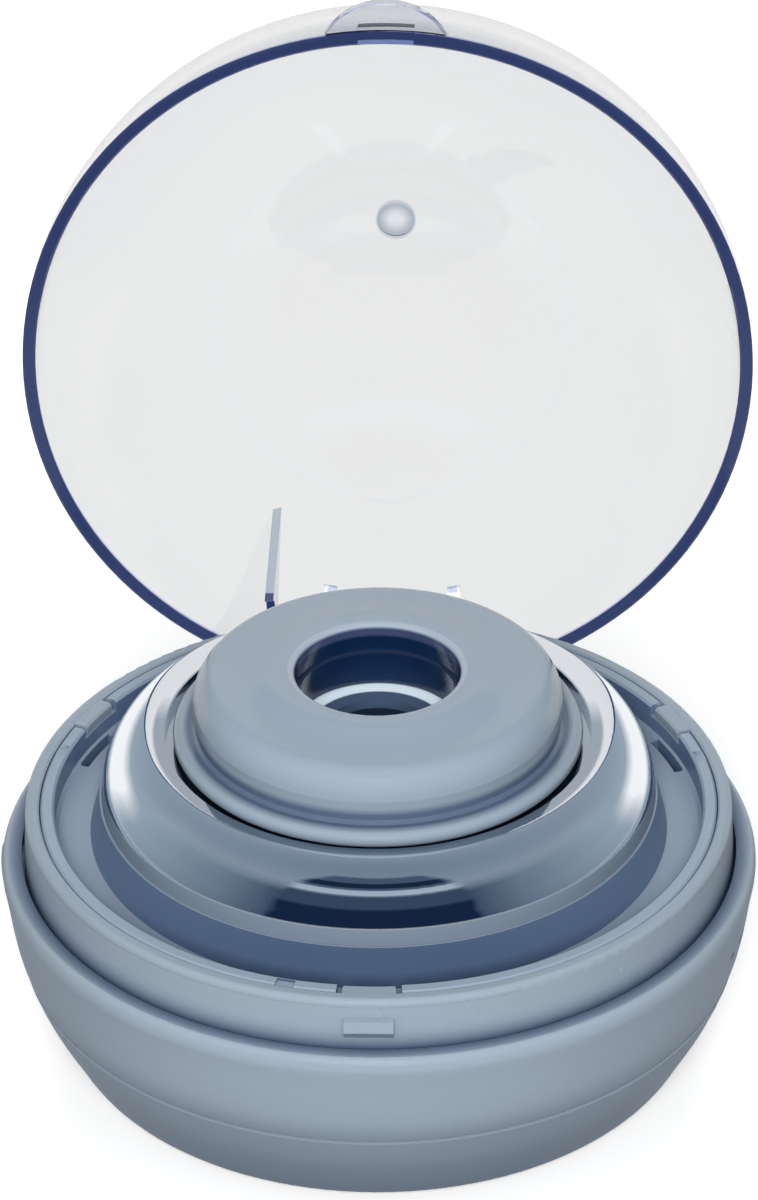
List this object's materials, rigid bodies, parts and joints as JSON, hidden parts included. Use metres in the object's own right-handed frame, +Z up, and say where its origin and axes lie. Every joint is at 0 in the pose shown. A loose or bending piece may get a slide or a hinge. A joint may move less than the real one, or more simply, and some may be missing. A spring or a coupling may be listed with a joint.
{
  "type": "soother light-cleaning case",
  "caption": "Round clear-domed travel case that cleans a soother with ultraviolet light over a mirrored drum, with a hinged lid.",
  "frame": {"origin": "middle of the case's foot pad, on the table, under the axis of the round case", "axes": "+Z up; front of the case with the lid's thumb tab towards -Y when closed, hinge at the back on +Y, power button on -X, indicators and +X to the right"},
  "size_m": [0.1, 0.1524, 0.1236],
  "materials": {
    "shell_plastic": "smooth moulded ABS, grey-blue",
    "deck_plastic": "smooth moulded ABS, slate blue",
    "mirror_coat": "vacuum-metallised mirror coat",
    "bell_plastic": "glossy moulded ABS, grey-blue",
    "clear_plastic": null,
    "quartz": "polished quartz window",
    "light_pipe_clear": "clear acrylic light pipe",
    "silicone": "silicone rubber",
    "aluminium_part": "bare machined aluminium",
    "led_board_metal": "aluminium-core board, white mask",
    "led_package": "ceramic LED package with a clear lens",
    "board_green": "glass-fibre board, green mask",
    "component_black": "moulded component packages",
    "foam": "thin adhesive foam",
    "cell_wrap": "laminated pouch foil",
    "steel": "zinc-plated steel",
    "pin_steel": "ground stainless steel"
  },
  "bodies": {
    "case": {"base_shell": "shell_plastic", "body_shell": "shell_plastic", "collar_ring": "shell_plastic", "deck_liner": "deck_plastic", "reflector_drum": "mirror_coat", "teat_well": "deck_plastic", "window_gasket": "silicone", "uv_window": "quartz", "window_ring": "aluminium_part", "led_board": "led_board_metal", "uv_leds": "led_package", "led_board_screws": "steel", "main_board": "board_green", "board_parts": "component_black", "board_screws": "steel", "battery_pad": "foam", "battery": "cell_wrap", "usb_socket": "steel", "button_switch": "component_black", "button_board": "board_green", "light_pipe": "light_pipe_clear", "indicator_board": "board_green", "indicator_leds": "led_package", "interlock_switch": "component_black", "hinge_pin": "pin_steel", "deck_screws": "steel", "base_screws": "steel", "foot_pad": "silicone"},
    "lid": {"lid": "clear_plastic"},
    "power_button": {"power_button": "shell_plastic"},
    "interlock_plunger": {"interlock_plunger": "deck_plastic"},
    "bell": {"bell": "bell_plastic"}
  },
  "joints": [
    {"name": "lid_hinge", "type": "hinge", "parent": "case", "child": "lid", "pos_m": [0, 0.046, 0.024], "axis": [1, 0, 0], "range_deg": [0, 93]},
    {"name": "power_press", "type": "slide", "parent": "case", "child": "power_button", "axis": [1, 0, 0], "range_m": [0, 0.0008], "stiffness_N_per_m": 400, "springref_m": -0.001},
    {"name": "interlock_press", "type": "slide", "parent": "case", "child": "interlock_plunger", "axis": [0, 0, -1], "range_m": [0, 0.0008], "stiffness_N_per_m": 200, "springref_m": -0.001},
    {"name": "bell_lift", "type": "slide", "parent": "case", "child": "bell", "axis": [0, 0, 1], "range_m": [0, 0.015]}
  ]
}
